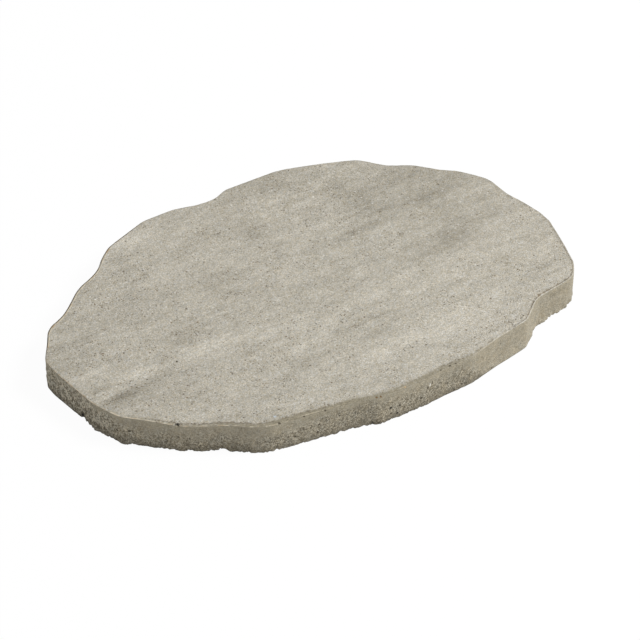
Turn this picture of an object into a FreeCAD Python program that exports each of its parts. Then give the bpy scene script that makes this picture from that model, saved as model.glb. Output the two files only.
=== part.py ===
"""Garden stepping stone: one slab of pressed concrete with a wandering, flagstone-like outline.

The slab lies on its flat bed. +Z is up, the origin is in the middle of the bed, and the long way is along X.
All sizes are in millimetres and all angles in degrees.
"""

import FreeCAD, Part
import math
import os

# Overall sizes
LENGTH = 600.0
WIDTH = 400.0
THICKNESS = 38.0

# How sharply the mould turns at the corners of the outline
TIGHT = 12.0
SOFT = 32.0
BROAD = 80.0

# The roll from the walking face down to the wall
ARRIS_RADIUS = 4.0

# The walking face climbs this much from the left-hand end to the right
FACE_RISE = 3.0

# The cleft relief of the walking face: low swells and ripples that run lengthwise, as on split stone
SWELL_HEIGHT = 1.0
SWELL_SPACING = 112.0
SWELL_SWAY = 12.0
SWAY_LENGTH = 310.0
RIPPLE_HEIGHT = 0.35
RIPPLE_SPACING = 67.0
RIPPLE_BEARING = 8.0

# The hollow that runs in from the left-hand end, where a flake has come away
HOLLOW_DEPTH = 1.6
HOLLOW_LENGTH = 85.0
HOLLOW_BREADTH = 20.0
HOLLOW_PLACE = (-280.0, -36.0)
HOLLOW_BEARING = 4.0

# The relief is shaped on a net of heights, closer across the swells than along them, wider than the slab
NET_STEP_ALONG = 30.0
NET_STEP_ACROSS = 15.0
NET_OVERHANG = 40.0

# An arc takes no more than this share of the straight run beside it
ROUNDING_SHARE = 0.45

# The outline's corners, anticlockwise from the right-hand end.
# Each is a share of the half length, a share of the half width, and how sharply it turns.
# The outermost side on each of the four sides is a short straight run, so the slab measures LENGTH by WIDTH.
CORNERS = [
    (1.000, -0.285, TIGHT),
    (1.000, -0.190, TIGHT),
    (0.963, 0.060, BROAD),
    (0.955, 0.228, SOFT),
    (0.880, 0.397, SOFT),
    (0.833, 0.462, SOFT),
    (0.764, 0.590, SOFT),
    (0.680, 0.675, SOFT),
    (0.604, 0.812, SOFT),
    (0.310, 0.995, BROAD),
    (0.066, 1.000, SOFT),
    (0.004, 0.966, SOFT),
    (-0.080, 0.966, SOFT),
    (-0.170, 1.000, SOFT),
    (-0.300, 1.000, SOFT),
    (-0.490, 0.900, SOFT),
    (-0.583, 0.786, SOFT),
    (-0.715, 0.670, BROAD),
    (-0.820, 0.535, BROAD),
    (-0.905, 0.480, SOFT),
    (-0.950, 0.360, SOFT),
    (-1.000, 0.245, TIGHT),
    (-1.000, 0.160, SOFT),
    (-0.968, -0.180, BROAD),
    (-0.930, -0.360, SOFT),
    (-0.765, -0.605, BROAD),
    (-0.642, -0.718, BROAD),
    (-0.544, -0.851, BROAD),
    (-0.185, -0.951, SOFT),
    (-0.112, -0.988, SOFT),
    (-0.020, -1.000, SOFT),
    (0.080, -1.000, SOFT),
    (0.170, -0.993, SOFT),
    (0.285, -0.996, SOFT),
    (0.430, -0.947, BROAD),
    (0.572, -0.915, TIGHT),
    (0.673, -0.797, SOFT),
    (0.864, -0.762, SOFT),
    (0.920, -0.646, SOFT),
]


def corner_points():
    """The outline's corners in millimetres, each with its rounding."""
    return [(FreeCAD.Vector(x * LENGTH / 2, y * WIDTH / 2, 0), r) for x, y, r in CORNERS]


def rounded_corner(before, corner, after, radius):
    """The arc that rounds one corner: where it leaves the first side, its middle, and where it joins the next."""
    back = before - corner
    ahead = after - corner
    reach_limit = ROUNDING_SHARE * min(back.Length, ahead.Length)
    back.normalize()
    ahead.normalize()
    half_angle = back.getAngle(ahead) / 2
    reach = min(radius / math.tan(half_angle), reach_limit)
    fitted = reach * math.tan(half_angle)
    inward = back + ahead
    inward.normalize()
    middle = corner + inward * (fitted / math.sin(half_angle) - fitted)
    return corner + back * reach, middle, corner + ahead * reach


def outline():
    """The closed outline of the slab: straight sides joined by tangent arcs."""
    corners = corner_points()
    count = len(corners)
    arcs = [
        rounded_corner(corners[i - 1][0], corners[i][0], corners[(i + 1) % count][0], corners[i][1])
        for i in range(count)
    ]
    edges = []
    for i in range(count):
        start, middle, end = arcs[i]
        edges.append(Part.Arc(start, middle, end).toShape())
        edges.append(Part.LineSegment(end, arcs[(i + 1) % count][0]).toShape())
    return Part.Wire(edges)


def turned(x, y, bearing):
    """The distances along and across a bearing."""
    c = math.cos(math.radians(bearing))
    s = math.sin(math.radians(bearing))
    return x * c + y * s, y * c - x * s


def relief_height(x, y):
    """How far the walking face stands above its mean level at one place."""
    swayed = y + SWELL_SWAY * math.sin(2 * math.pi * x / SWAY_LENGTH)
    swell = SWELL_HEIGHT * math.cos(2 * math.pi * swayed / SWELL_SPACING)
    across_ripple = turned(x, y, RIPPLE_BEARING)[1]
    ripple = RIPPLE_HEIGHT * math.sin(2 * math.pi * across_ripple / RIPPLE_SPACING)
    along, across = turned(x - HOLLOW_PLACE[0], y - HOLLOW_PLACE[1], HOLLOW_BEARING)
    hollow = HOLLOW_DEPTH * math.exp(-((along / HOLLOW_LENGTH) ** 2) - (across / HOLLOW_BREADTH) ** 2)
    return FACE_RISE * x / LENGTH - swell + ripple - hollow


def net_lines(reach, step):
    """Evenly spaced places from beyond one side of the slab to beyond the other."""
    count = math.ceil((reach / 2 + NET_OVERHANG) / step)
    return [i * step for i in range(-count, count + 1)]


def walking_face():
    """The gently swelling upper surface, larger than the slab."""
    ys = net_lines(WIDTH, NET_STEP_ACROSS)
    points = []
    for x in net_lines(LENGTH, NET_STEP_ALONG):
        points.append([FreeCAD.Vector(x, y, THICKNESS + relief_height(x, y)) for y in ys])
    surface = Part.BSplineSurface()
    surface.interpolate(points)
    return surface.toShape()


def slab():
    """The whole stone: the outline raised to the walking face, with its upper edge rolled over."""
    above = FreeCAD.Vector(0, 0, 2 * THICKNESS)
    blank = Part.Face(outline()).extrude(above)
    block = blank.cut(walking_face().extrude(above))
    face = max(block.Faces, key=lambda f: f.CenterOfMass.z)
    return block.makeFillet(ARRIS_RADIUS, face.Edges)


def main():
    os.makedirs("parts", exist_ok=True)
    stone = slab()
    box = stone.optimalBoundingBox()
    print(f"stepping_stone: valid {stone.isValid()}, solids {len(stone.Solids)}, faces {len(stone.Faces)}")
    print(f"size {box.XLength:.2f} x {box.YLength:.2f} x {box.ZLength:.2f} mm, volume {stone.Volume / 1e6:.3f} litres")
    stone.exportStep("parts/stepping_stone.step")


main()
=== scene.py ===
# %% [markdown]
# # A garden stepping stone of pressed concrete
# The real stone is made in one stroke. Damp, sandy concrete is tipped into a steel mould, and a heavy
# shoe presses it from above. The shoe leaves a gently cleft walking face, the mould leaves upright walls,
# and the loose mix at the bottom leaves a coarse, crumbly foot. One closed mesh stands for it here, built
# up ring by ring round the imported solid, so that it keeps the solid's size.

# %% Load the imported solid
import math

import bmesh
import bpy
import numpy as np
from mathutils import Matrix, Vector, noise
from mathutils.bvhtree import BVHTree


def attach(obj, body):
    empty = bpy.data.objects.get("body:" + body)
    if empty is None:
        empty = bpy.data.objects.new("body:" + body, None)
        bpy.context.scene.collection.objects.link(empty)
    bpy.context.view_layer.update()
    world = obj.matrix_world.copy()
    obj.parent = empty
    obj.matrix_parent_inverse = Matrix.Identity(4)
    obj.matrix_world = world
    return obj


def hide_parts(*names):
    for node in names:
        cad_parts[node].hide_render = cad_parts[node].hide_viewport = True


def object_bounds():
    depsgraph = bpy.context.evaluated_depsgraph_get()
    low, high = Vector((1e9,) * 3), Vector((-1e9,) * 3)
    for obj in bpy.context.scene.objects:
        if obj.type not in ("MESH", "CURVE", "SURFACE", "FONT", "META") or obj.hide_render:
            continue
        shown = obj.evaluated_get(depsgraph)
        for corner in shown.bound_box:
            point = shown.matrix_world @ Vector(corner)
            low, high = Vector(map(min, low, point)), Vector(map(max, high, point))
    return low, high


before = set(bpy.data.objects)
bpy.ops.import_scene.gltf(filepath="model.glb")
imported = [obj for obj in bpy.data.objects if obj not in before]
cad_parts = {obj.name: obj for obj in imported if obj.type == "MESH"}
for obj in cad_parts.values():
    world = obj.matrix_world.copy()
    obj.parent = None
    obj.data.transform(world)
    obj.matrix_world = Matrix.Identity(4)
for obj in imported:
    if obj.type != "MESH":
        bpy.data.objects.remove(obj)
cad_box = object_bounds()
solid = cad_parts["stepping_stone"]
MM = 0.001
sides = [round(side / MM, 1) for side in cad_box[1] - cad_box[0]]
print("solid:", len(solid.data.polygons), "faces,", sides, "mm")

# %% [markdown]
# ## The mould's outline
# The wandering outline could be drawn again with a curve, but then two outlines would have to be kept
# alike. The solid's bed already holds it, so it is read from there. The solid's mesh is loose triangles,
# and a copy of it is merged first, so that neighbouring triangles share their corners and edges.

# %% Merge a copy of the solid and find the edge of its bed
BED_LEVEL = 0.01 * MM
block = bmesh.new()
block.from_mesh(solid.data)
bmesh.ops.remove_doubles(block, verts=block.verts, dist=0.001 * MM)
block.normal_update()


def on_bed_edge(edge):
    """True for an edge between the bed and a wall."""
    low = all(v.co.z < BED_LEVEL for v in edge.verts)
    return low and any(abs(f.normal.z) < 0.5 for f in edge.link_faces)


bed_edges = [e for e in block.edges if on_bed_edge(e)]
print("bed edge:", len(bed_edges), "edges")


# %% Put its corners in order
def in_order(edges):
    """The corners of one closed run of edges, one after another, anticlockwise from above."""
    beside = {}
    for edge in edges:
        a, b = edge.verts
        beside.setdefault(a, []).append(b)
        beside.setdefault(b, []).append(a)
    run = [max(beside, key=lambda v: v.co.x)]
    run.append(max(beside[run[0]], key=lambda v: v.co.y))
    while len(run) < len(beside):
        run.append(next(v for v in beside[run[-1]] if v is not run[-2]))
    return np.array([v.co.xy for v in run])


bed_corners = in_order(bed_edges)

# %% [markdown]
# ## Stations round the rim
# Crumbs and pits of a millimetre or two need corners about a millimetre apart. So the outline gets evenly
# spaced stations, and every ring of the mesh has one corner at each. The count halves evenly several
# times, which the walking face needs later. A little smoothing takes out the facets of the solid's arcs.

# %% Space the stations evenly
STATIONS = 1344
SMOOTHING_PASSES = 6


def eased(values, passes):
    """Values round a closed loop, each drawn towards its neighbours."""
    for _ in range(passes):
        values = (np.roll(values, 1, 0) + 2 * values + np.roll(values, -1, 0)) / 4
    return values


closed = np.vstack([bed_corners, bed_corners[:1]])
distance = np.concatenate([[0], np.cumsum(np.hypot(*np.diff(closed, axis=0).T))])
ROUND = distance[-1]
marks = np.arange(STATIONS) / STATIONS * ROUND
outline = np.stack([np.interp(marks, distance, closed[:, k]) for k in (0, 1)], axis=1)
outline = eased(outline, SMOOTHING_PASSES)
ahead = np.roll(outline, -2, 0) - np.roll(outline, 2, 0)
ahead /= np.hypot(*ahead.T)[:, None]
inward = np.stack([-ahead[:, 1], ahead[:, 0]], axis=1)
print("outline:", round(ROUND / MM), "mm round,", round(ROUND / STATIONS / MM, 2), "mm between stations")

# %% [markdown]
# ## Two kinds of roughness
# Cast concrete is rough in two ways. Crumbs and lumps are fractal noise: big lumps carry smaller ones.
# Pebbles and air pits are scattered about, and Voronoi cells make those: a pebble fills its cell and
# leaves a gap along the border, a pit is a hollow round the middle of a cell. Both come out the same in
# every run.

# %% Define the lumps, the pebbles and the air pits
def smoothstep(low, high, value):
    """0 below low, 1 above high, and a soft ramp between."""
    t = np.clip((value - low) / (high - low), 0, 1)
    return t * t * (3 - 2 * t)


def lumps(points, size, octaves=2, seed=0):
    """Fractal noise at each point, about -1 to 1, with lumps of one size."""
    shift = Vector((17.3, 5.1, 9.7)) * seed
    return np.array([noise.fractal(Vector(p) / size + shift, 1.0, 2.0, octaves) for p in points])


def pebble_gaps(points, size, seed=0):
    """1 in the gap between two pebbles of one size, 0 on a pebble."""
    shift = Vector((3.7, 11.9, 7.3)) * seed
    near = np.array([noise.voronoi(Vector(p) / size + shift)[0][:2] for p in points])
    return 1 - smoothstep(0.0, 0.4, near[:, 1] - near[:, 0])


def air_pits(points, size, share, seed=0):
    """Round hollows in a share of the cells of one size: 1 at the middle of a hollow, 0 outside."""
    shift = Vector((3.7, 11.9, 7.3)) * seed
    depths = []
    for p in points:
        near, middles = noise.voronoi(Vector(p) / size + shift)
        draw = (abs(middles[0].dot(Vector((12.9898, 78.233, 37.719)))) * 43.7585) % 1.0
        reach = 0.28 + 0.3 * draw / share
        depths.append(max(0.0, 1 - near[0] / reach) if draw < share else 0.0)
    return np.array(depths)


# %% [markdown]
# ## The height of the walking face
# The solid carries the swells of the walking face. A ray dropped on it from above gives the height at any
# place, so the detailed mesh follows the same swells. Three small places are touched up: two
# hollows near the narrow end are a little deeper on the real stone, and the rim beside them a little
# higher. At the rim itself the height is taken a little way in, clear of the solid's rolled edge.

# %% Look heights up on the solid
ROLL_WIDTH = 9.5 * MM
CROWN_PASSES = 12
DENTS = [  # middle, half length, half breadth and depth, in millimetres, below 0 for a rise
    (-228, -33, 42, 10, 1.1),
    (-150, -46, 45, 11, 0.7),
    (-298, -26, 18, 26, -1.0),
]
surface = BVHTree.FromBMesh(block)


def face_height(x, y):
    """The height of the walking face above one place."""
    dents = sum(
        depth * math.exp(-(((x / MM - cx) / length) ** 2) - ((y / MM - cy) / breadth) ** 2)
        for cx, cy, length, breadth, depth in DENTS
    )
    return surface.ray_cast(Vector((x, y, 1)), Vector((0, 0, -1)))[0].z - dents * MM


crown = np.array([face_height(*place) for place in outline + inward * ROLL_WIDTH])
crown = eased(crown, CROWN_PASSES)
print("rim height:", round(crown.min() / MM, 1), "to", round(crown.max() / MM, 1), "mm")

# %% [markdown]
# ## Notes round the rim
# The rim isn't alike all round. In some stretches smooth cement paste reaches far down the wall, and in
# others the coarse mix shows nearly up to the top. Some stretches of the foot are clean and others
# crumble. Along the front the shoe has squeezed out a lip of paste with a pale edge, and elsewhere there
# is only a fine crease. A few notes say so, and every station takes values between those of its
# neighbouring notes.

# %% Read notes at every station
stations = np.arange(STATIONS)


def nearest_station(x, y):
    """The station closest to one place, given in millimetres."""
    return int(np.argmin(np.hypot(*(outline - np.array([x, y]) * MM).T)))


def along_rim(notes):
    """One row of values for each noted quantity, with a value at every station."""
    at = [nearest_station(*note[:2]) for note in notes]
    order = np.argsort(at)
    columns = np.array([note[2:] for note in notes])[order].T
    return [np.interp(stations, np.array(at)[order], column, period=STATIONS) for column in columns]


def around(x, y, reach):
    """1 at the station closest to one place, fading to 0 at a distance along the rim, in millimetres."""
    steps = np.abs(stations - nearest_station(x, y))
    steps = np.minimum(steps, STATIONS - steps)
    return 1 - smoothstep(0, reach, steps * ROUND / STATIONS / MM)


# %% Ease the outline in a few places
SLACK = [  # place and reach along the rim, and how far the real rim lies further in, all in millimetres
    (299, -55, 55, 2.8),
    (110, 186, 170, 1.5),
    (-5, 199, 32, 2.0),
    (-185, 152, 32, 3.2),
    (-235, 120, 90, 1.2),
]
for x, y, reach, further_in in SLACK:
    outline = outline + inward * (around(x, y, reach) * further_in * MM)[:, None]
print("outline eased in", len(SLACK), "places")

# %% Note the wall and the foot
WALL_NOTES = [  # place in millimetres, share of the wall that is coarse, how gritty, how ragged the foot is
    (297, 0, 0.10, 0.0, 0.4),
    (250, 95, 0.45, 0.0, 0.7),
    (100, 196, 0.60, 0.0, 0.7),
    (-100, 198, 0.55, 0.0, 0.7),
    (-210, 135, 0.50, 0.2, 0.7),
    (-285, 75, 0.60, 0.5, 0.4),
    (-299, 44, 0.90, 0.6, 0.0),
    (-294, 2, 0.90, 0.6, 0.0),
    (-291, -22, 0.88, 0.6, 0.6),
    (-286, -55, 0.80, 0.5, 0.8),
    (-279, -72, 0.62, 0.25, 0.8),
    (-262, -95, 0.55, 0.1, 0.7),
    (-235, -115, 0.52, 0.2, 0.6),
    (-205, -138, 0.58, 0.1, 1.0),
    (-170, -160, 0.50, 0.0, 0.7),
    (-140, -172, 0.70, 0.1, 0.8),
    (-120, -177, 0.80, 0.1, 0.7),
    (-60, -191, 0.82, 0.0, 0.6),
    (-10, -198, 0.66, 0.1, 0.6),
    (55, -199, 0.70, 0.0, 0.3),
    (85, -199, 0.60, 0.0, 0.2),
    (105, -196, 0.10, 0.0, 0.1),
    (150, -187, -0.30, 0.0, 0.0),
    (175, -180, -0.30, 0.0, 0.0),
    (195, -164, -0.25, 0.0, 1.2),
    (225, -155, -0.20, 0.0, 1.2),
    (262, -146, -0.25, 0.0, 1.1),
    (285, -100, -0.20, 0.0, 0.2),
]
coarse_reach, gritty, ragged = along_rim(WALL_NOTES)
print("coarse mix reaches up to", round(coarse_reach.max(), 2), "of the wall's height")

# %% Note the lip
# Place and lip width in millimetres, then paste, pale line, its place across the lip, painted shade in the
# crease and painted shade along the outer edge. These run from 0 to about 1. Above 1 the line is bold.
RIM_NOTES = [
    (299, -44, 0.4, 0.30, 0.00, 0.0, 0.70, 0.5),
    (260, 87, 0.6, 0.30, 0.00, 0.0, 0.25, 0.3),
    (116, 186, 0.6, 0.30, 0.00, 0.0, 0.20, 0.2),
    (-81, 199, 0.6, 0.30, 0.10, 0.0, 0.20, 0.6),
    (-110, 193, 2.2, 0.15, 0.30, 0.6, 0.00, 1.4),
    (-135, 187, 3.4, 0.10, 0.75, 0.5, 0.00, 1.5),
    (-155, 177, 4.4, 0.10, 1.35, 0.35, 0.00, 1.2),
    (-210, 133, 4.6, 0.10, 1.35, 0.35, 0.00, 1.2),
    (-271, 91, 4.2, 0.10, 1.35, 0.35, 0.00, 1.2),
    (-296, 62, 3.0, 0.10, 1.20, 0.35, 0.00, 1.1),
    (-301, 44, 1.0, 0.10, 1.20, 0.0, 0.00, 0.2),
    (-300, 32, 0.8, 0.10, 1.40, 0.0, 0.00, 0.0),
    (-289, -45, 0.8, 0.15, 1.40, 0.0, 0.10, 0.0),
    (-283, -62, 2.0, 0.20, 2.20, 0.15, 0.20, 0.0),
    (-275, -78, 1.8, 0.35, 2.00, 0.10, 0.35, 0.0),
    (-264, -93, 1.2, 0.50, 1.10, 0.0, 0.65, 0.0),
    (-249, -106, 1.6, 0.60, 0.95, 0.0, 0.85, 0.0),
    (-216, -133, 1.9, 0.65, 0.90, 0.0, 0.85, 0.0),
    (-189, -149, 2.6, 0.75, 0.80, 0.0, 0.90, 0.0),
    (-162, -164, 3.2, 0.85, 0.80, 0.0, 0.80, 0.0),
    (-141, -171, 3.8, 1.00, 0.60, 0.0, 0.70, 0.0),
    (-118, -178, 4.2, 1.00, 0.66, 0.35, 0.65, 0.0),
    (-87, -182, 3.6, 1.00, 0.66, 0.35, 0.70, 0.0),
    (-70, -187, 3.2, 0.95, 0.45, 0.35, 0.55, 0.0),
    (-55, -192, 3.2, 0.90, 0.00, 0.6, 0.35, 0.0),
    (-30, -198, 3.0, 0.75, 0.10, 0.6, 0.30, 0.0),
    (-12, -197, 3.2, 0.80, 0.75, 0.35, 0.45, 0.0),
    (5, -197, 3.0, 0.80, 0.65, 0.35, 0.45, 0.0),
    (31, -197, 3.0, 0.85, 0.00, 0.6, 0.35, 0.0),
    (60, -199, 2.6, 0.80, 0.00, 0.3, 0.90, 0.0),
    (81, -200, 2.0, 0.70, 0.30, 0.0, 0.45, 0.0),
    (105, -196, 0.9, 0.45, 0.55, 0.0, 0.55, 0.0),
    (128, -192, 0.7, 0.35, 0.45, 0.0, 0.62, 0.0),
    (150, -187, 0.6, 0.30, 0.20, 0.0, 0.72, 0.0),
    (168, -183, 0.4, 0.30, 0.00, 0.0, 0.80, 0.0),
    (190, -166, 0.3, 0.25, 0.00, 0.0, 0.95, 0.0),
    (238, -153, 0.3, 0.25, 0.00, 0.0, 0.90, 0.0),
    (264, -143, 0.3, 0.25, 0.00, 0.0, 0.85, 0.2),
]
lip_width, paste, pale_line, line_place, crease_shade, edge_shade = along_rim(RIM_NOTES)
lip_width = lip_width * (1 + 0.3 * lumps(np.column_stack([outline, crown]), 7 * MM, 3, seed=15))
print("lip:", round(lip_width.min(), 1), "to", round(lip_width.max(), 1), "mm wide")

# %% [markdown]
# ## The wall
# The wall is a stack of rings. The lowest ring is lifted here and there where the foot has crumbled, the
# highest ends at the lip. Between them each corner moves in or out by pebbles, lumps and pits, strongly
# where the mix is coarse and hardly at all in the smooth paste above.

# %% Crumble the foot
NOTCH_HEIGHT = 4.0 * MM
CRUMB_REACH = 1.3 * MM
# Place, reach along the rim, how far the foot is lifted and how far it stands out, all in millimetres.
# A lift below 0 fills in crumbled places.
FOOT_NOTES = [
    (-292, -19, 6, 3.0, -0.5),
    (-288, -42, 22, 0.0, 2.0),
    (-275, -76, 16, 0.0, 1.4),
    (-195, -142, 9, 2.4, -0.5),
    (-33, -199, 10, 0.0, 1.6),
    (30, -199, 90, 0.0, 0.7),
    (140, -190, 60, 0.0, 1.0),
    (187, -171, 13, 0.0, 1.7),
    (212, -158, 16, -1.6, 2.6),
    (254, -148, 12, 1.2, -0.4),
    (276, -130, 22, -0.6, 0.9),
]
foot_places = np.column_stack([outline, np.zeros(STATIONS)])
crumble = 0.5 * lumps(foot_places, 13 * MM, 3, seed=1) + 1.1 * lumps(foot_places, 4.0 * MM, 2, seed=2)
crumble = crumble + 0.45 * lumps(foot_places, 2.4 * MM, 2, seed=17)
lift = np.clip(crumble - 0.15, 0, 0.8) * NOTCH_HEIGHT * ragged
stands_out = lumps(foot_places, 8 * MM, 3, seed=3) + 0.5 * lumps(foot_places, 2.8 * MM, 2, seed=18)
stands_out = stands_out * CRUMB_REACH * ragged
for x, y, reach, raised, outward in FOOT_NOTES:
    nearby = around(x, y, reach)
    lift = np.maximum(lift + nearby * raised * MM, 0)
    stands_out = stands_out + nearby * outward * MM
print("foot lifted by up to", round(lift.max() / MM, 1), "mm")

# %% Stack the wall's rings
WALL_RINGS = 31
LIP_EDGE = 0.25
lip_drop = 0.3 + 0.35 * lip_width * (1 - 0.7 * edge_shade)
high = np.linspace(0, 1, WALL_RINGS)[:, None]
level = lift + (crown - (lip_drop + LIP_EDGE) * MM - lift) * high
across = [np.broadcast_to(outline[:, k], level.shape) for k in (0, 1)]
wall = np.dstack([*across, level])
places = wall.reshape(-1, 3)


def on_wall(values):
    """Values at the wall's corners, ring by ring."""
    return values.reshape(level.shape)


blotches = on_wall(lumps(places, 14 * MM, 3, seed=12))
coarse = smoothstep(-0.25, 0.3, coarse_reach - high + 0.3 * blotches)
near_foot = 1 - smoothstep(0.0, 0.3, high)
below_lip = 1 - smoothstep(0.9, 0.99, high)
clean_foot = 1 - (1 - ragged) * near_foot

# %% Push the wall in and out
crumbling = on_wall(lumps(places, 3.2 * MM, 3, seed=4)) * 0.35
crumbling = crumbling + on_wall(lumps(places, 9 * MM, 2, seed=5)) * 0.3
wander = on_wall(lumps(places, 30 * MM, 2, seed=6)) * 0.15
wander = wander + on_wall(lumps(places, 5 * MM, 2, seed=7)) * 0.06
gaps = on_wall(pebble_gaps(places, 4.6 * MM, seed=3))
large_pits = on_wall(air_pits(places, 7 * MM, 0.25, seed=1))
small_pits = on_wall(air_pits(places, 3.6 * MM, 0.45, seed=2))
pits = np.maximum(large_pits, 0.7 * small_pits)
# How deep each corner lies in a pit or a gap between pebbles; the wall's finish paints shade there.
wall_pit = coarse * np.maximum(pits, 0.3 * gaps) + (1 - coarse) * 0.12 * pits
carved = (crumbling - 1.1 * pits - 0.5 * gaps + 0.3) * (0.65 + 0.7 * gritty)
relief = (coarse * clean_foot * carved + wander) * below_lip * MM + stands_out * near_foot
wall[:, :, :2] -= relief[:, :, None] * inward
print("wall relief:", round(relief.min() / MM, 2), "to", round(relief.max() / MM, 2), "mm")

# %% [markdown]
# ## The lip and the rolled edge
# The shoe is a little smaller than the mould, so paste squeezes up round it and leaves a sloping lip
# along the wall, with a sharp pale edge. Just inside the lip is the crease of the shoe's rim, and from
# there the walking face rolls up to its level. A bevel can't make a crease, so a short list gives the
# profile: how far in from the wall, how far down.

# %% Shape the rim's rings
RIM = [  # share of the lip's width, millimetres further in, share of its drop, paste left, what it is
    (0.00, 0.10, 1.00, 1.00, "outer edge"),
    (0.00, 0.65, 0.78, 1.00, "edge"),
    (0.35, 0.65, 0.62, 1.00, "lip"),
    (0.70, 0.65, 0.45, 0.95, "lip"),
    (1.00, 0.65, 0.33, 0.85, "lip"),
    (1.00, 0.95, 0.36, 0.72, "crease"),
    (1.00, 1.70, 0.27, 0.58, "crease side"),
    (1.00, 2.70, 0.16, 0.42, "crumbs"),
    (1.00, 4.20, 0.06, 0.20, "roll"),
    (0.00, 9.50, 0.00, 0.00, "roll"),
]
rim_places = np.column_stack([outline, crown])
wear = 0.18 * lumps(rim_places, 5 * MM, 3, seed=9)
rim = []
for share, further, drop, _, kind in RIM:
    inset = (share * lip_width + further) * MM
    down = drop * lip_drop + (0 if kind in ("crumbs", "roll") else wear)
    rim.append(np.column_stack([outline + inward * inset[:, None], crown - down * MM]))
breaks = np.clip(0.75 + 1.1 * lumps(rim_places, 6 * MM, 3, seed=13), 0.15, 1)
dots = np.clip(0.2 + 2.2 * lumps(rim_places, 3 * MM, 2, seed=14), 0, 1)
dashes = dots + (1 - dots) * smoothstep(0.6, 1.0, crease_shade) * (0.55 + 0.45 * breaks)
crumbs = np.clip(2.6 * lumps(rim_places, 2.6 * MM, 2, seed=16) - 0.35, 0, 1)
print("rim:", len(rim), "rings")


# %% Chip one hole out of the front edge
def on_edge(x, y):
    """The place on the stone's upper edge beside one place, in millimetres."""
    return rim[1][nearest_station(x, y)] / MM


HOLE_PLACE = (-235, -117)
HOLE_REACH, HOLE_DEPTH, BELOW_EDGE = 3.0, 2.0, 0.4  # millimetres
SINK_SHARE = 0.4
hole_at = on_edge(*HOLE_PLACE)
hole_middle = hole_at + np.array([*inward[nearest_station(*HOLE_PLACE)], -BELOW_EDGE])
for ring_places in [*wall[-4:], *rim[:6]]:
    away = np.linalg.norm((ring_places / MM - hole_at) / (1.0, 1.0, 0.8), axis=1)
    bite = (1 - smoothstep(0.35, 1.0, away / HOLE_REACH)) * HOLE_DEPTH * MM
    ring_places[:, :2] += inward * bite[:, None]
    ring_places[:, 2] -= bite * SINK_SHARE
print("hole at", hole_at.round(1))

# %% [markdown]
# ## Growing the mesh
# A circle with one corner for each station starts the mesh, and extruding its edges adds one ring at a
# time. The station's number rides along on each corner, because an extrusion copies it, and says where
# the new corner belongs. Each corner also carries what it is: how deep in a pit, how high on the wall, on
# the lip or in the crease. The materials read these numbers later.

# %% Start with the foot ring
MARKS = ("pit", "coarse", "grit", "high", "edge", "lip", "crease")
FACE, WALL = 0, 1
stone = bmesh.new()
station = stone.verts.layers.int.new("station")
layers = {name: stone.verts.layers.float.new(name) for name in MARKS}
NOTHING = np.zeros(STATIONS)


def settle(corners, positions, given):
    """Puts corners at their stations' positions and writes down what they are."""
    for corner in corners:
        number = corner[station]
        corner.co = positions[number]
        for name, layer in layers.items():
            corner[layer] = given.get(name, NOTHING)[number]


first = bmesh.ops.create_circle(stone, cap_ends=False, segments=STATIONS, radius=1)["verts"]
for number, corner in enumerate(first):
    corner[station] = number
settle(first, wall[0], {"pit": wall_pit[0], "coarse": coarse[0], "grit": coarse[0] * gritty})
foot_ring = list(stone.edges)


# %% Define how one ring grows from another
def grow(ring, positions, surface_kind, **given):
    """Extrudes a closed ring of edges once, settles the new corners and gives back the new ring."""
    made = bmesh.ops.extrude_edge_only(stone, edges=ring)["geom"]
    corners = {g for g in made if isinstance(g, bmesh.types.BMVert)}
    settle(corners, positions, given)
    for face in (g for g in made if isinstance(g, bmesh.types.BMFace)):
        face.material_index = surface_kind
    return [g for g in made if isinstance(g, bmesh.types.BMEdge) and all(v in corners for v in g.verts)]


# %% Grow the wall and the rim
ring = foot_ring
for row in range(1, WALL_RINGS):
    wall_marks = {"pit": wall_pit[row], "coarse": coarse[row], "grit": coarse[row] * gritty}
    ring = grow(ring, wall[row], WALL, high=NOTHING + high[row], **wall_marks)
# Painted shade: a broken dark line on the two outer rings, and dark dashes in the crease and the crumbs
# beside it.
edge_shade_line = edge_shade * (0.3 + 0.7 * breaks)
shade_marks = {
    "outer edge": edge_shade_line,
    "edge": edge_shade_line,
    "crease": crease_shade * dashes,
    "crease side": 0.85 * crease_shade * dashes,
    "crumbs": 0.75 * crease_shade * crumbs,
}
for positions, (share, _, _, cover, kind) in zip(rim, RIM):
    on_line = np.clip(1 - np.abs(share - line_place) / 0.35, 0, 1) * pale_line * breaks
    pale = on_line if kind in ("edge", "lip") else on_line * (kind == "outer edge")
    ring = grow(ring, positions, FACE, edge=pale, lip=cover * paste, crease=shade_marks.get(kind, NOTHING))
print("wall and rim:", len(stone.faces), "faces")

# %% [markdown]
# ## The walking face
# From the rim the rings close in on the middle, each a little smaller than the last. If every ring kept
# all its corners they would crowd together, so now and then every second corner is welded to its
# neighbour. The heights come from the solid, with low ripples added that run lengthwise, as on split
# stone.

# %% Define the face's rings
FACE_STEP = 0.0118
HALVINGS = (1.0, 0.5, 0.25, 0.125)


def face_ring(size):
    """Where the stations of one ring of the walking face lie, for a given share of the rim's size."""
    flat = rim[-1][:, :2] * size
    heights = np.array([face_height(*place) for place in flat])
    stretched = np.column_stack([flat * (0.3, 1.0), NOTHING])
    ripples = 0.3 * lumps(stretched, 14 * MM, 3, seed=10) + 0.1 * lumps(stretched, 4 * MM, 2, seed=11)
    return np.column_stack([flat, heights + ripples * MM * smoothstep(0, 0.06, 1 - size)])


def halve(ring):
    """Welds every second corner of a ring to its neighbour and gives back the shorter ring."""
    corners = sorted({v for edge in ring for v in edge.verts}, key=lambda v: v[station])
    kept = corners[0::2]
    bmesh.ops.weld_verts(stone, targetmap=dict(zip(corners[1::2], kept)))
    kept_set = set(kept)
    return list({e for v in kept for e in v.link_edges if e.other_vert(v) in kept_set})


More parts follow.
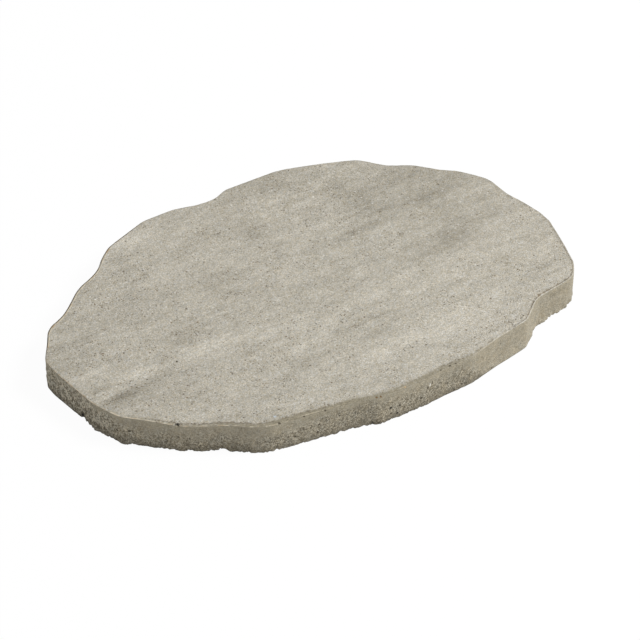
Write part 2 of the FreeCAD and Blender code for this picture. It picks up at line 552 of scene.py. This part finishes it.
# %% Grow the face to its middle
waiting = list(HALVINGS)
for size in np.arange(1 - FACE_STEP, 0.02, -FACE_STEP):
    ring = grow(ring, face_ring(size), FACE)
    if waiting and size < waiting[0]:
        waiting.pop(0)
        ring = halve(ring)
bmesh.ops.contextual_create(stone, geom=ring)
print("with the walking face:", len(stone.faces), "faces")

# %% [markdown]
# ## The bed
# Underneath, two rings lead from the crumbled foot to the flat bed, and one face closes it.

# %% Close the bed
BED_RINGS = [(4.0, 0.5), (10.0, 0.0)]  # millimetres in from the wall, share of the foot's lift
ring = foot_ring
for inset, rise in BED_RINGS:
    bed_ring = np.column_stack([outline + inward * inset * MM, lift * rise])
    ring = grow(ring, bed_ring, WALL, coarse=NOTHING + 1)
bed = bmesh.ops.contextual_create(stone, geom=ring)["faces"]
for face in bed:
    face.material_index = WALL
bmesh.ops.recalc_face_normals(stone, faces=stone.faces)
for face in stone.faces:
    face.smooth = True
open_edges = sum(1 for e in stone.edges if len(e.link_faces) != 2)
triangles = sum(len(f.verts) - 2 for f in stone.faces)
litres = round(stone.calc_volume() * 1000, 3)
print("closed stone:", triangles, "triangles,", open_edges, "open edges, volume", litres, "l")

# %% Make it a piece of the scene
mesh = bpy.data.meshes.new("cast_stepping_stone")
stone.to_mesh(mesh)
stone.free()
block.free()
cast_stone = bpy.data.objects.new("cast_stepping_stone", mesh)
bpy.context.scene.collection.objects.link(cast_stone)
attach(cast_stone, "root")
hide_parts("stepping_stone")

# %% [markdown]
# ## Building materials in code
# A material is a small network of nodes. Four helpers keep the cells below short: one adds a node with
# its values and links, one adds a Math node, one mixes two colours, and one adds soft noise.

# %% Define the node helpers
def add(tree, kind, values=None, links=None, **settings):
    """Adds one node, sets its properties and values, and links its inputs."""
    made = tree.nodes.new(kind)
    for name, setting in settings.items():
        setattr(made, name, setting)
    for name, value in (values or {}).items():
        made.inputs[name].default_value = value
    for name, socket in (links or {}).items():
        tree.links.new(socket, made.inputs[name])
    return made


def calc(tree, operation, *terms, clamp=False):
    """One Math node. A term is a number or another node's output."""
    made = tree.nodes.new("ShaderNodeMath")
    made.operation = operation
    made.use_clamp = clamp
    for place, term in enumerate(terms):
        if isinstance(term, (int, float)):
            made.inputs[place].default_value = term
        else:
            tree.links.new(term, made.inputs[place])
    return made.outputs[0]


def blend(tree, amount, first, second, mode="MIX"):
    """Mixes two colours. Each is a tuple or another node's output."""
    made = tree.nodes.new("ShaderNodeMix")
    made.data_type = "RGBA"
    made.blend_type = mode
    for place, term in ((0, amount), (6, first), (7, second)):
        if isinstance(term, (int, float, tuple)):
            made.inputs[place].default_value = term if place == 0 else (*term, 1.0)
        else:
            tree.links.new(term, made.inputs[place])
    return made.outputs[2]


def noise_at(tree, position, scale, detail=2.0, roughness=0.5):
    """Soft noise with so many lumps to the metre, centred on 0."""
    values = {"Scale": scale, "Detail": detail, "Roughness": roughness}
    texture = add(tree, "ShaderNodeTexNoise", values, {"Vector": position})
    return calc(tree, "SUBTRACT", texture.outputs["Fac"], 0.5)


# %% [markdown]
# ## Effects that both surfaces share
# Sand grain, pin holes and soft patches show on the walking face and on the walls, at different
# strengths. Each is a node group with named inputs, built once and placed in both materials with its own
# values.

# %% Define how a group starts
VECTOR, NUMBER = "NodeSocketVector", "NodeSocketFloat"


def start_group(name, inputs, outputs):
    """A new shader node group with named sockets, and its input and output nodes."""
    group = bpy.data.node_groups.new(name, "ShaderNodeTree")
    for socket, kind in inputs:
        group.interface.new_socket(socket, in_out="INPUT", socket_type=kind)
    for socket, kind in outputs:
        group.interface.new_socket(socket, in_out="OUTPUT", socket_type=kind)
    return group, group.nodes.new("NodeGroupInput").outputs, group.nodes.new("NodeGroupOutput").inputs


# %% Sand grain: every grain has its own tone and warmth
sand_grain, given, result = start_group(
    "sand_grain",
    [("Position", VECTOR), ("Fineness", NUMBER)],
    [("Tone", NUMBER), ("Warmth", NUMBER), ("Height", NUMBER)],
)
grains = add(sand_grain, "ShaderNodeTexVoronoi", {},
             {"Vector": given["Position"], "Scale": given["Fineness"]})
own = add(sand_grain, "ShaderNodeSeparateColor", {}, {"Color": grains.outputs["Color"]})
clumps = add(sand_grain, "ShaderNodeTexNoise", {"Detail": 2.0, "Roughness": 0.6},
             {"Vector": given["Position"], "Scale": calc(sand_grain, "MULTIPLY", given["Fineness"], 0.5)})
tone = calc(sand_grain, "MULTIPLY_ADD", calc(sand_grain, "SUBTRACT", clumps.outputs["Fac"], 0.5), 0.6,
            calc(sand_grain, "MULTIPLY", calc(sand_grain, "SUBTRACT", own.outputs[0], 0.5), 0.6))
sand_grain.links.new(tone, result["Tone"])
sand_grain.links.new(calc(sand_grain, "SUBTRACT", own.outputs[1], 0.5), result["Warmth"])
sand_grain.links.new(calc(sand_grain, "SUBTRACT", tone, grains.outputs["Distance"]), result["Height"])

# %% Pin holes: small hollows in a share of the cells
pin_holes, given, result = start_group(
    "pin_holes",
    [("Position", VECTOR), ("Spacing", NUMBER), ("Share", NUMBER), ("Size", NUMBER)],
    [("Pit", NUMBER)],
)
cells = add(pin_holes, "ShaderNodeTexVoronoi", {}, {"Vector": given["Position"], "Scale": given["Spacing"]})
draw = add(pin_holes, "ShaderNodeSeparateColor", {}, {"Color": cells.outputs["Color"]})
chosen = calc(pin_holes, "LESS_THAN", draw.outputs[0], given["Share"])
reach = calc(pin_holes, "MULTIPLY", given["Size"], calc(pin_holes, "ADD", draw.outputs[1], 0.4))
hollow = add(pin_holes, "ShaderNodeMapRange", {"From Min": 0.0, "To Min": 1.0, "To Max": 0.0},
             {"Value": cells.outputs["Distance"], "From Max": reach}, interpolation_type="SMOOTHSTEP")
pin_holes.links.new(calc(pin_holes, "MULTIPLY", hollow.outputs["Result"], chosen), result["Pit"])

# %% Soft patches: a smudge or a spot at one place
soft_patch, given, result = start_group(
    "soft_patch", [("Position", VECTOR), ("Centre", VECTOR), ("Reach", VECTOR)], [("Mask", NUMBER)]
)
offset = add(soft_patch, "ShaderNodeVectorMath", {},
             {0: given["Position"], 1: given["Centre"]}, operation="SUBTRACT")
scaled = add(soft_patch, "ShaderNodeVectorMath", {},
             {0: offset.outputs[0], 1: given["Reach"]}, operation="DIVIDE")
away = add(soft_patch, "ShaderNodeVectorMath", {}, {0: scaled.outputs[0]}, operation="LENGTH")
fade = add(soft_patch, "ShaderNodeMapRange", {"From Min": 0.0, "From Max": 1.0, "To Min": 1.0, "To Max": 0.0},
           {"Value": away.outputs["Value"]}, interpolation_type="SMOOTHSTEP")
soft_patch.links.new(fade.outputs["Result"], result["Mask"])
print("groups:", [g.name for g in bpy.data.node_groups])


# %% Define how groups and marks are used in a material
def place(tree, group, values, links):
    """Adds a node group to a material with its own values."""
    made = tree.nodes.new("ShaderNodeGroup")
    made.node_tree = group
    for name, value in values.items():
        made.inputs[name].default_value = value
    for name, socket in links.items():
        tree.links.new(socket, made.inputs[name])
    return made.outputs


def patch(tree, position, x, y, z, reach_x, reach_y, reach_z):
    """The mask of one soft patch, with its place and reach in millimetres."""
    centre, reach = (x * MM, y * MM, z * MM), (reach_x * MM, reach_y * MM, reach_z * MM)
    return place(tree, soft_patch, {"Centre": centre, "Reach": reach}, {"Position": position})["Mask"]


def start_material(name):
    """A new material with a dull Principled surface, and the position on the object."""
    material = bpy.data.materials.new(name)
    material.use_nodes = True
    tree = material.node_tree
    principled = tree.nodes["Principled BSDF"]
    principled.inputs["Specular IOR Level"].default_value = 0.25
    position = tree.nodes.new("ShaderNodeTexCoord").outputs["Object"]
    return material, tree, principled, position


def mark(tree, name):
    """A number that the mesh carries at its corners."""
    return add(tree, "ShaderNodeAttribute", attribute_name=name).outputs["Fac"]


# %% [markdown]
# ## The walking face's finish
# Seen close, the face is sand in grey-beige cement. Its tone drifts in lengthwise streaks and in soft
# patches a hand wide, fine grain lies over that, and here and there is a brown pin hole or a pale grain.
# Each of these is one layer. The patches are placed where the stone shows them.

# %% Lay out the patches of the walking face
# Most patches are the concrete's own tone. Those beside the two hollows near the narrow end are painted shade
# and painted highlight on the hollows' slopes.
TONE_AND_SHADE_PATCHES = [  # centre and reach in millimetres, and how much darker it is
    (165, -24, 62, 44, 0.11),
    (202, -22, 60, 40, 0.13),
    (215, 75, 160, 140, 0.18),
    (198, 60, 66, 16, 0.13),
    (108, 47, 58, 13, 0.22),
    (146, 98, 40, 46, 0.13),
    (122, 132, 40, 28, 0.13),
    (70, 180, 80, 44, 0.17),
    (8, 122, 26, 36, 0.17),
    (-48, 141, 34, 18, 0.10),
    (-68, 57, 50, 15, 0.17),
    (-160, 4, 25, 20, 0.17),
    (-182, 48, 34, 20, 0.12),
    (-272, 34, 54, 34, 0.21),
    (-148, 155, 20, 14, 0.18),
    (38, -86, 60, 22, 0.11),
    (-72, -111, 32, 13, 0.16),
    (15, -111, 34, 11, 0.14),
    (-215, -78, 64, 32, 0.08),
    (-120, -66, 60, 20, 0.05),
    (-205, -88, 46, 14, 0.10),
    (-254, -47, 42, 21, 0.36),
    (-262, -45, 30, 9, 0.12),
    (-274, -23, 20, 7, 0.30),
    (85, -142, 215, 36, -0.22),
    (-146, -28, 46, 26, -0.26),
    (-70, -42, 80, 20, -0.18),
    (-35, -63, 40, 22, -0.14),
    (-226, -23, 38, 10, -0.27),
    (-277, -37, 17, 5, -0.24),
    (-268, 3, 34, 14, -0.09),
    (-125, 184, 56, 36, -0.27),
    (100, -60, 130, 50, -0.10),
    (75, 80, 60, 26, -0.07),
    (-100, 102, 70, 32, -0.12),
    (235, -42, 30, 36, -0.08),
]
FACE_LEVEL = 38  # millimetres
ANY_HEIGHT = 900  # a reach so tall that the height makes no difference
MIDDLE_TONE = 0.5
pressed_face, tree, principled, position = start_material("pressed_face")
shade = MIDDLE_TONE
for x, y, reach_x, reach_y, darker in TONE_AND_SHADE_PATCHES:
    mask = patch(tree, position, x, y, FACE_LEVEL, reach_x, reach_y, ANY_HEIGHT)
    shade = calc(tree, "MULTIPLY_ADD", mask, -darker, shade)

# %% Add streaks, mottling and grain
lengthwise = add(tree, "ShaderNodeMapping", {"Scale": (28.0, 100.0, 40.0)}, {"Vector": position}).outputs[0]
grain = place(tree, sand_grain, {"Fineness": 1000.0}, {"Position": position})
broad_end = patch(tree, position, 240, 10, FACE_LEVEL, 210, 210, ANY_HEIGHT)
smooth_paste = calc(tree, "MULTIPLY_ADD", broad_end, -0.1, 1.0)
smooth_paste = calc(tree, "MULTIPLY_ADD", mark(tree, "lip"), -0.4, smooth_paste)
shade = calc(tree, "MULTIPLY_ADD", noise_at(tree, lengthwise, 1.0, 3.0, 0.6), 0.7, shade)
shade = calc(tree, "MULTIPLY_ADD", noise_at(tree, position, 120.0, 3.0, 0.6), 0.45, shade)
tone = calc(tree, "MULTIPLY_ADD", calc(tree, "MULTIPLY", grain["Tone"], smooth_paste), 1.03, 0.5)
colour = blend(tree, tone, (0.281, 0.254, 0.186), (0.655, 0.623, 0.550))
colour = blend(tree, 1.0, colour, blend(tree, shade, (0.59, 0.58, 0.55), (1.41, 1.42, 1.45)), "MULTIPLY")
warmth = calc(tree, "MULTIPLY_ADD", noise_at(tree, position, 190.0, 3.0, 0.7), 0.75,
              calc(tree, "MULTIPLY_ADD", grain["Warmth"], 0.75, 0.5))
tint = blend(tree, warmth, (0.94, 0.988, 1.085), (1.06, 1.004, 0.915))
colour = blend(tree, 1.0, colour, tint, "MULTIPLY")

# %% Add pin holes and pale grains
gathered = calc(tree, "MULTIPLY_ADD", broad_end, -0.28, calc(tree, "MULTIPLY_ADD", shade, -0.6, 0.58))
gathered = calc(tree, "MULTIPLY_ADD", noise_at(tree, position, 38.0, 2.0, 0.6), 2.4, gathered, clamp=True)
hole_links = {"Position": position, "Share": gathered}
holes = place(tree, pin_holes, {"Spacing": 400.0, "Size": 0.40}, hole_links)["Pit"]
big_holes = place(tree, pin_holes, {"Spacing": 200.0, "Size": 0.29}, hole_links)["Pit"]
holes = calc(tree, "MAXIMUM", holes, big_holes)
pale = place(tree, pin_holes, {"Spacing": 300.0, "Share": 0.30, "Size": 0.40}, {"Position": position})["Pit"]
colour = blend(tree, calc(tree, "MULTIPLY", pale, 0.65), colour, (0.78, 0.765, 0.715))
rusty = calc(tree, "MULTIPLY_ADD", noise_at(tree, position, 110.0, 2.0), 6.0, 0.1, clamp=True)
# The pin holes are darkened with painted shade, rust-brown in places.
hole_shade_colour = blend(tree, rusty, (0.075, 0.055, 0.029), (0.145, 0.086, 0.034))
colour = blend(tree, calc(tree, "MULTIPLY", holes, 0.92), colour, hole_shade_colour)

# %% Tint the lip and its pale edge, and paint shade into the crease and along the outer edge
sandy = noise_at(tree, position, 420.0, 2.0, 0.6)
cover = calc(tree, "MULTIPLY_ADD", grain["Tone"], 0.6, mark(tree, "lip"))
cover = calc(tree, "MULTIPLY_ADD", sandy, 1.5, cover)
cover = calc(tree, "MULTIPLY_ADD", cover, 1.9, -0.53, clamp=True)
paste_tone = calc(tree, "MULTIPLY_ADD", grain["Tone"], 1.5, calc(tree, "MULTIPLY_ADD", sandy, 1.2, 0.5))
paste_colour = blend(tree, paste_tone, (0.180, 0.158, 0.112), (0.330, 0.296, 0.218))
colour = blend(tree, cover, colour, paste_colour)
# The pale line along the lip is pale paste, with a painted highlight where its outer corner catches the lamp.
edge_colour = blend(tree, rusty, (0.69, 0.62, 0.48), (0.53, 0.41, 0.265))
line = calc(tree, "MULTIPLY_ADD", mark(tree, "edge"), 1.35, -0.32, clamp=True)
colour = blend(tree, line, colour, edge_colour)
# Painted shade: the crease and the outer edge are darkened with brown.
crease_shade_colour = blend(tree, rusty, (0.088, 0.069, 0.042), (0.140, 0.090, 0.038))
colour = blend(tree, calc(tree, "MULTIPLY", mark(tree, "crease"), 0.9), colour, crease_shade_colour)

# %% Set single spots one by one
# The black and brown spots are painted shade in small pits, in a notch of the foot and in the chipped hole.
# The rust, tan, chalk and flint spots are grains of their own colour.
BLACK = (0.02, 0.018, 0.015)
BROWN = (0.09, 0.075, 0.052)
RUST = (0.17, 0.105, 0.045)
TAN = (0.46, 0.34, 0.20)
CHALK = (0.80, 0.77, 0.70)
FLINT = (0.50, 0.54, 0.57)
WOBBLE = 1.7 * MM
SPOT_STRENGTH = 1.9
SPOTS = [  # place, reach to the sides and reach upwards in millimetres, colour
    (*hole_middle, 3.7, 1.6, BLACK),
    (*on_edge(-144, -173), 2.4, 1.8, BROWN),
    (*on_edge(-117, -178), 1.6, 1.4, BROWN),
    (*on_edge(-93, -181), 1.7, 1.4, BROWN),
    (*on_edge(-37, -199), 1.9, 1.6, RUST),
    (*on_edge(-33, -199), 1.6, 1.4, RUST),
    (*on_edge(-2, -199), 1.6, 1.2, TAN),
    (*on_edge(45, -197), 1.4, 1.2, BROWN),
    (*on_edge(57, -199), 2.0, 1.3, BROWN),
    (*on_edge(64, -199), 1.5, 1.2, BROWN),
    (-143, -163, 37.5, 2.2, 9.0, FLINT),
    (-182, -29, 37.0, 1.9, 9.0, BROWN),
    (-171, -146, 37.5, 1.3, 9.0, BROWN),
    (9, -66, 37.5, 1.3, 9.0, BROWN),
    (-58, 54, 37.5, 1.3, 9.0, BROWN),
    (63, 45, 37.5, 1.3, 9.0, BROWN),
    (-67, -114, 37.5, 1.3, 9.0, BROWN),
    (-203, 110, 37.5, 1.4, 9.0, CHALK),
    (98, 131, 37.5, 1.8, 9.0, CHALK),
    (10, 169, 37.5, 1.5, 9.0, CHALK),
    (-292, -17, 5.0, 3.4, 4.0, BLACK),
    (-280, -68, 15.5, 1.9, 1.8, BROWN),
    (-271, -79, 18.5, 2.8, 1.8, BROWN),
    (-234, -117, 19.5, 1.9, 1.8, BROWN),
    (-224, -124, 17.5, 1.6, 1.6, BROWN),
    (-127, -177, 12.5, 2.6, 1.8, BROWN),
    (-100, -182, 20.0, 2.0, 1.8, BROWN),
    (-102, -182, 10.0, 1.7, 1.8, BROWN),
    (-77, -186, 24.0, 1.8, 1.8, BROWN),
    (-20, -199, 16.5, 2.2, 2.4, BLACK),
    (-9, -200, 15.5, 1.9, 2.6, BROWN),
    (-12, -200, 6.0, 2.2, 2.2, BLACK),
    (-20, -199, 8.5, 2.0, 1.8, BROWN),
    (19, -200, 12.5, 2.3, 2.1, BROWN),
    (27, -200, 23.0, 1.6, 2.4, BROWN),
    (33, -200, 27.5, 1.3, 2.8, BROWN),
    (30, -200, 25.5, 1.2, 3.4, CHALK),
    (73, -199, 6.0, 2.0, 1.8, BROWN),
    (63, -199, 2.0, 1.8, 1.8, BROWN),
    (131, -189, 28.0, 1.5, 1.5, BROWN),
    (118, -192, 2.5, 2.0, 1.6, BROWN),
    (-41, -196, 2.5, 3.0, 1.6, BLACK),
    (-35, -197, 2.0, 2.6, 1.6, BROWN),
]


def with_spots(tree, position, colour):
    """The colour with every spot laid over it, each a little out of round."""
    wobble = add(tree, "ShaderNodeTexNoise", {"Scale": 450.0, "Detail": 1.0}, {"Vector": position})
    centred = add(tree, "ShaderNodeVectorMath", {1: (0.5, 0.5, 0.5)},
                  {0: wobble.outputs["Color"]}, operation="SUBTRACT")
    moved = add(tree, "ShaderNodeVectorMath", {1: (WOBBLE, WOBBLE, WOBBLE)},
                {0: centred.outputs[0], 2: position}, operation="MULTIPLY_ADD")
    for x, y, z, reach, tall, spot in SPOTS:
        mask = patch(tree, moved.outputs[0], x, y, z, reach, reach, tall)
        colour = blend(tree, calc(tree, "MULTIPLY", mask, SPOT_STRENGTH, clamp=True), colour, spot)
    return colour


tree.links.new(with_spots(tree, position, colour), principled.inputs["Base Color"])

# %% Raise the grain, sink the holes and let the paste shine a little
roughness = calc(tree, "MULTIPLY_ADD", cover, -0.14, calc(tree, "MULTIPLY_ADD", grain["Tone"], 0.12, 0.93))
tree.links.new(roughness, principled.inputs["Roughness"])
height = calc(tree, "SUBTRACT", calc(tree, "MULTIPLY", grain["Height"], smooth_paste), holes)
bump = add(tree, "ShaderNodeBump", {"Strength": 0.6, "Distance": 0.0006}, {"Height": height})
tree.links.new(bump.outputs["Normal"], principled.inputs["Normal"])
mesh.materials.append(pressed_face)
print("walking face:", len(tree.nodes), "nodes")

# %% [markdown]
# ## The wall's finish
# The wall is the same mix against steel: smooth olive-grey paste above, coarse and pitted below, where
# pale grains stand beside dark pores. The larger pits are already in the mesh, and the corners say how
# deep they are.

# %% Colour the smooth paste and the coarse mix
SMUDGE = (228, -156, 31, 17, 17, 8)  # place and reach in millimetres
mould_wall, tree, principled, position = start_material("mould_wall")
rough = mark(tree, "coarse")
up_wall = mark(tree, "high")
upright = add(tree, "ShaderNodeMapping", {"Scale": (1.0, 1.0, 0.85)}, {"Vector": position}).outputs[0]
grain = place(tree, sand_grain, {"Fineness": 880.0}, {"Position": upright})
grit = mark(tree, "grit")
strength = calc(tree, "MULTIPLY_ADD", grit, 0.8, calc(tree, "MULTIPLY_ADD", rough, 0.85, 0.5))
tone = calc(tree, "MULTIPLY_ADD", calc(tree, "MULTIPLY", grain["Tone"], strength), 1.6, 0.42)
tone = calc(tree, "MULTIPLY_ADD", grit, 0.12, calc(tree, "MULTIPLY_ADD", rough, 0.02, tone))
gravel = place(tree, sand_grain, {"Fineness": 390.0}, {"Position": upright})
tone = calc(tree, "MULTIPLY_ADD", calc(tree, "MULTIPLY", gravel["Tone"], grit), 4.8, tone)
tone = calc(tree, "MULTIPLY_ADD", noise_at(tree, upright, 130.0, 3.0, 0.6), 0.6, tone)
smudge = patch(tree, position, *SMUDGE)
smudge = calc(tree, "MULTIPLY", smudge, calc(tree, "MULTIPLY_ADD", gravel["Tone"], 2.0, 0.8))
tone = calc(tree, "MULTIPLY_ADD", smudge, -0.32, tone)
colour = blend(tree, tone, (0.235, 0.208, 0.150), blend(tree, grit, (0.54, 0.495, 0.385), (0.92, 0.85, 0.68)))
warmth = calc(tree, "MULTIPLY_ADD", noise_at(tree, upright, 110.0, 2.0), 1.0,
              calc(tree, "MULTIPLY_ADD", grain["Warmth"], 0.5, 0.5))
tint = blend(tree, warmth, (0.95, 0.99, 1.07), (1.06, 1.0, 0.92))
colour = blend(tree, 1.0, colour, tint, "MULTIPLY")
band = add(tree, "ShaderNodeMapRange", {"From Min": 0.8, "From Max": 0.95, "To Max": 0.25},
           {"Value": up_wall})
colour = blend(tree, band.outputs["Result"], colour, (0.40, 0.357, 0.26))

# %% Add pale grains, and paint shade into the pores and pits
pale_share = calc(tree, "MULTIPLY_ADD", grit, 0.4, 0.28)
pale_links = {"Position": upright, "Share": pale_share}
pale = place(tree, pin_holes, {"Spacing": 420.0, "Size": 0.42}, pale_links)["Pit"]
pale = calc(tree, "MULTIPLY", calc(tree, "MULTIPLY", pale, rough), 0.7)
colour = blend(tree, pale, colour, (0.62, 0.575, 0.46))
pores = place(tree, pin_holes, {"Spacing": 540.0, "Share": 0.42, "Size": 0.44}, {"Position": upright})["Pit"]
pores = calc(tree, "MULTIPLY", pores, calc(tree, "MULTIPLY_ADD", rough, 0.6, 0.4), clamp=True)
# Painted shade in the mesh's pits and gaps and in the small pores.
dark = calc(tree, "MULTIPLY", mark(tree, "pit"), 0.55)
dark = calc(tree, "MAXIMUM", dark, calc(tree, "MULTIPLY", pores, 0.95))
colour = blend(tree, dark, colour, (0.055, 0.046, 0.032))
# Painted shade: the coarse mix darkens towards the foot, where the stone meets the floor.
foot_shade = add(tree, "ShaderNodeMapRange", {"From Min": 0.0, "From Max": 0.28, "To Min": 0.60, "To Max": 0.0},
           {"Value": up_wall})
colour = blend(tree, calc(tree, "MULTIPLY", foot_shade.outputs["Result"], rough), colour, (0.12, 0.103, 0.075))
tree.links.new(with_spots(tree, position, colour), principled.inputs["Base Color"])

# %% Roughen the wall
roughness = calc(tree, "MULTIPLY_ADD", rough, 0.13, calc(tree, "MULTIPLY_ADD", grain["Tone"], 0.12, 0.84))
tree.links.new(roughness, principled.inputs["Roughness"])
height = calc(tree, "MULTIPLY", calc(tree, "SUBTRACT", grain["Height"], pores), strength)
bump = add(tree, "ShaderNodeBump", {"Strength": 0.7, "Distance": 0.0009}, {"Height": height})
tree.links.new(bump.outputs["Normal"], principled.inputs["Normal"])
mesh.materials.append(mould_wall)
print("wall:", len(tree.nodes), "nodes")

# %% [markdown]
# ## Camera
# The stone is seen from a good way off with a long lens, forty degrees above the floor. The camera stands
# back from a point near the front of the walking face along that line of sight.

# %% Place the camera
AIM = Vector((-17.1, -57.6, 38.0)) * MM
AZIMUTH, ELEVATION = math.radians(-33.38), math.radians(40.0)
CAMERA_DISTANCE = 2.9089
LENS, SENSOR = 150.0, 36.0
towards = Vector((
    math.sin(AZIMUTH) * math.cos(ELEVATION),
    -math.cos(AZIMUTH) * math.cos(ELEVATION),
    math.sin(ELEVATION),
))
camera_data = bpy.data.cameras.new("camera")
camera_data.lens = LENS
camera_data.sensor_width = SENSOR
camera = bpy.data.objects.new("camera", camera_data)
camera.location = AIM + towards * CAMERA_DISTANCE
camera.rotation_euler = towards.to_track_quat("Z", "Y").to_euler()
bpy.context.scene.collection.objects.link(camera)
bpy.context.scene.camera = camera

# %% [markdown]
# ## Light and floor
# One broad lamp stands far off to the right of the camera, about as high as it is far, so the walls on
# the right are lit and those on the left are in shade. The sky adds an even soft light. The floor is
# white, and to the camera it adds some light of its own, so it stays white and still shows a pale shadow.

# %% Set the key lamp and the sky
LAMP_ELEVATION, LAMP_DISTANCE = math.radians(47.0), 6.0
LAMP_SIZE, LAMP_POWER = 2.2, 318.0
SKY_LIGHT, SEEN_EXTRA = 0.42, 0.58  # together 1, which the camera sees as white
sideways = Vector((math.cos(AZIMUTH), math.sin(AZIMUTH), 0.0))
lamp_from = sideways * math.cos(LAMP_ELEVATION) + Vector((0, 0, math.sin(LAMP_ELEVATION)))
lamp_data = bpy.data.lights.new("key_lamp", "AREA")
lamp_data.shape = "DISK"
lamp_data.size = LAMP_SIZE
lamp_data.energy = LAMP_POWER
lamp = bpy.data.objects.new("key_lamp", lamp_data)
lamp.location = lamp_from * LAMP_DISTANCE
lamp.rotation_euler = lamp_from.to_track_quat("Z", "Y").to_euler()
bpy.context.scene.collection.objects.link(lamp)


def looked_at(tree):
    """1 for a ray that sees the background: straight from the camera, in a gloss or through glass."""
    rays = add(tree, "ShaderNodeLightPath").outputs
    seen = calc(tree, "ADD", rays["Is Camera Ray"], rays["Is Glossy Ray"])
    return calc(tree, "ADD", seen, rays["Is Transmission Ray"], clamp=True)


world = bpy.data.worlds.new("soft_sky")
world.use_nodes = True
bpy.context.scene.world = world
sky = world.node_tree.nodes["Background"]
sky_strength = calc(world.node_tree, "MULTIPLY_ADD", looked_at(world.node_tree), SEEN_EXTRA, SKY_LIGHT)
sky.inputs["Color"].default_value = (1, 1, 1, 1)
world.node_tree.links.new(sky_strength, sky.inputs["Strength"])

# %% Lay the floor
FLOOR_REACH = 6.0
FLOOR_GAP = 0.2 * MM
FLOOR_GLOW = 0.96
floor_mesh = bpy.data.meshes.new("floor")
sheet = bmesh.new()
bmesh.ops.create_grid(sheet, x_segments=1, y_segments=1, size=FLOOR_REACH)
bmesh.ops.translate(sheet, verts=sheet.verts, vec=(0, 0, -FLOOR_GAP))
sheet.to_mesh(floor_mesh)
sheet.free()
floor = bpy.data.objects.new("floor", floor_mesh)
bpy.context.scene.collection.objects.link(floor)

floor_white = bpy.data.materials.new("floor_white")
floor_white.use_nodes = True
tree = floor_white.node_tree
tree.nodes.remove(tree.nodes["Principled BSDF"])
seen = looked_at(tree)
matt = add(tree, "ShaderNodeBsdfDiffuse", {}, {"Color": blend(tree, seen, (0.8, 0.8, 0.8), (1.0, 1.0, 1.0))})
glow = add(tree, "ShaderNodeEmission", {"Color": (1, 1, 1, 1), "Strength": 1.0})
glow_share = calc(tree, "MULTIPLY", seen, FLOOR_GLOW)
mixed = add(tree, "ShaderNodeMixShader", {}, {0: glow_share, 1: matt.outputs[0], 2: glow.outputs[0]})
tree.links.new(mixed.outputs[0], tree.nodes["Material Output"].inputs["Surface"])
floor_mesh.materials.append(floor_white)

# %% Finish with the standard view transform
bpy.context.scene.view_settings.view_transform = "Standard"
